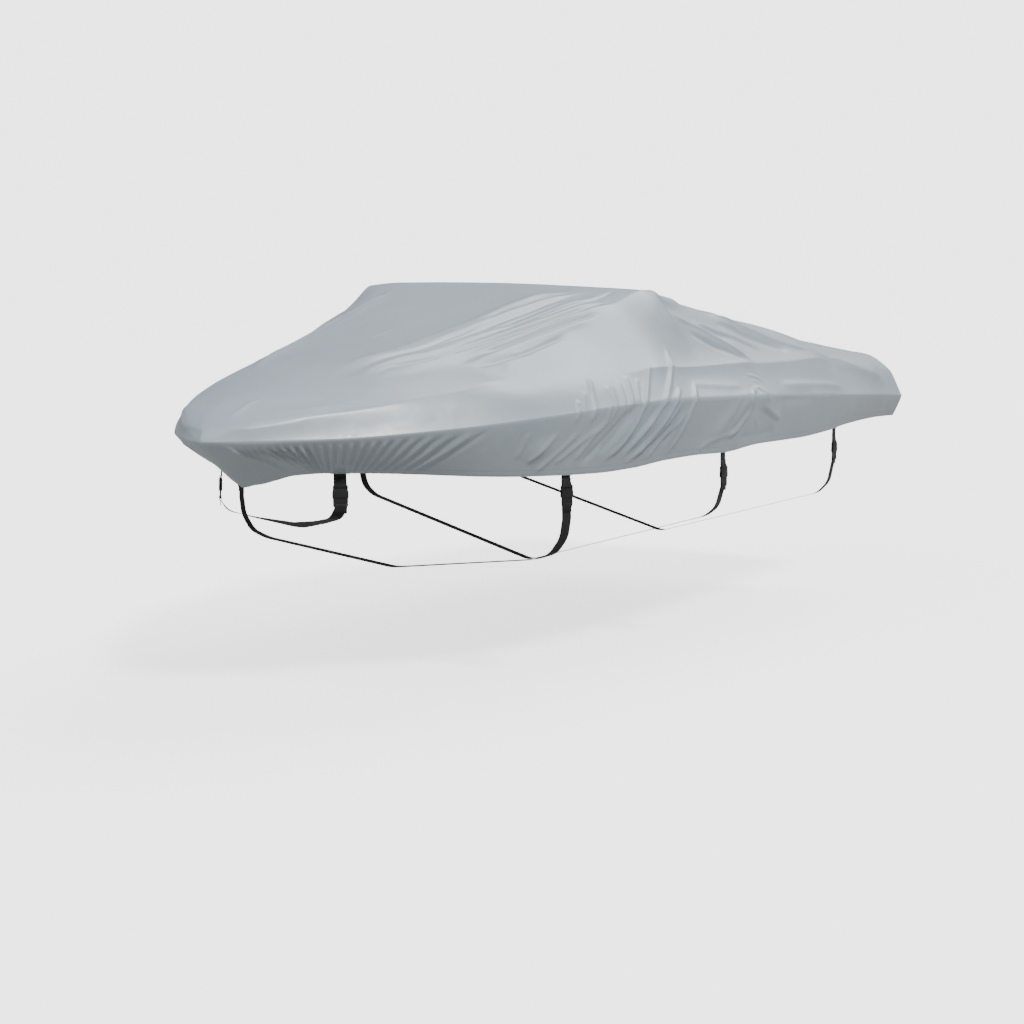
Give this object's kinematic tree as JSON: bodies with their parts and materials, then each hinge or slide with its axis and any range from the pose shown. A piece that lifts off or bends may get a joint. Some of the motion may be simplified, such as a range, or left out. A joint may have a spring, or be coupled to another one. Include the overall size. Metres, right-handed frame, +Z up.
{
  "type": "fitted boat cover with webbing straps",
  "caption": "Hollow fitted cloth cover for an open motor boat, raised over the windshield, held by webbing straps with side-release buckles that pass under the hull.",
  "frame": {"origin": "on the cloth's inner face, at the middle of the line where it lies over the windshield", "axes": "+X towards the bow, +Y to port, +Z up"},
  "size_m": [4.76, 2.1275, 1.3224],
  "materials": {
    "cloth": "coated polyester, soft satin",
    "webbing": "woven, matt",
    "buckle": "moulded, semi-matt"
  },
  "bodies": {
    "root": {"cover": "cloth", "bow_strap": "webbing", "bow_port_tab": "webbing", "bow_port_socket": "buckle", "bow_port_plug": "buckle", "bow_starboard_tab": "webbing", "bow_starboard_socket": "buckle", "bow_starboard_plug": "buckle", "fore_strap": "webbing", "fore_port_tab": "webbing", "fore_port_socket": "buckle", "fore_port_plug": "buckle", "fore_starboard_tab": "webbing", "fore_starboard_socket": "buckle", "fore_starboard_plug": "buckle", "mid_strap": "webbing", "mid_port_tab": "webbing", "mid_port_socket": "buckle", "mid_port_plug": "buckle", "mid_starboard_tab": "webbing", "mid_starboard_socket": "buckle", "mid_starboard_plug": "buckle", "aft_strap": "webbing", "aft_port_tab": "webbing", "aft_port_socket": "buckle", "aft_port_plug": "buckle", "aft_starboard_tab": "webbing", "aft_starboard_socket": "buckle", "aft_starboard_plug": "buckle"}
  },
  "joints": []
}
